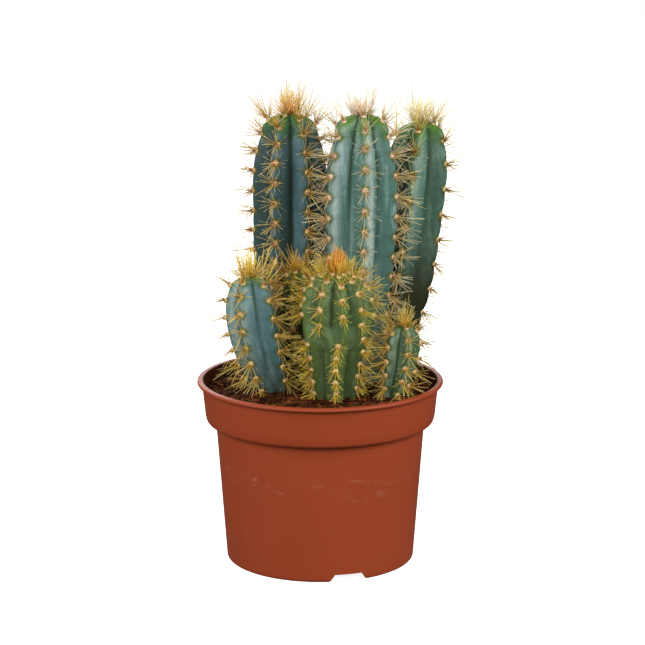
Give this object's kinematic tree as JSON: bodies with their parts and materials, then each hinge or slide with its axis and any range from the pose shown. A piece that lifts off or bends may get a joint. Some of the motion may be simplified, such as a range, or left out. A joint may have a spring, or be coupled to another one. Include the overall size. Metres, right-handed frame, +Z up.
{
  "type": "potted columnar cactus",
  "caption": "Group of young ribbed columnar cacti, tall at the back and short in front, planted in soil in a round terracotta-coloured plastic nursery pot with a banded rim.",
  "frame": {"origin": "middle of the pot's foot ring, on the surface that the pot stands on", "axes": "+Z up, front of the plant towards -Y, +X to the right seen from the front"},
  "size_m": [0.1731, 0.17, 0.3195],
  "materials": {
    "pot_plastic": "satin moulded polypropylene",
    "peat_soil": "matte fibrous peat and coir",
    "flesh_blue_green": "waxy blue-green skin with pale bloom",
    "flesh_green": "satin green skin",
    "areole_felt": "short tan felt",
    "spines": "smooth golden-yellow horn"
  },
  "bodies": {
    "root": {"pot": "pot_plastic", "potting_soil": "peat_soil", "stem_back_left": "flesh_blue_green", "stem_back_middle": "flesh_blue_green", "stem_back_right": "flesh_blue_green", "stem_front_left": "flesh_blue_green", "stem_front_middle": "flesh_green", "stem_front_right": "flesh_blue_green", "stem_inner_short": "flesh_green"}
  },
  "joints": []
}
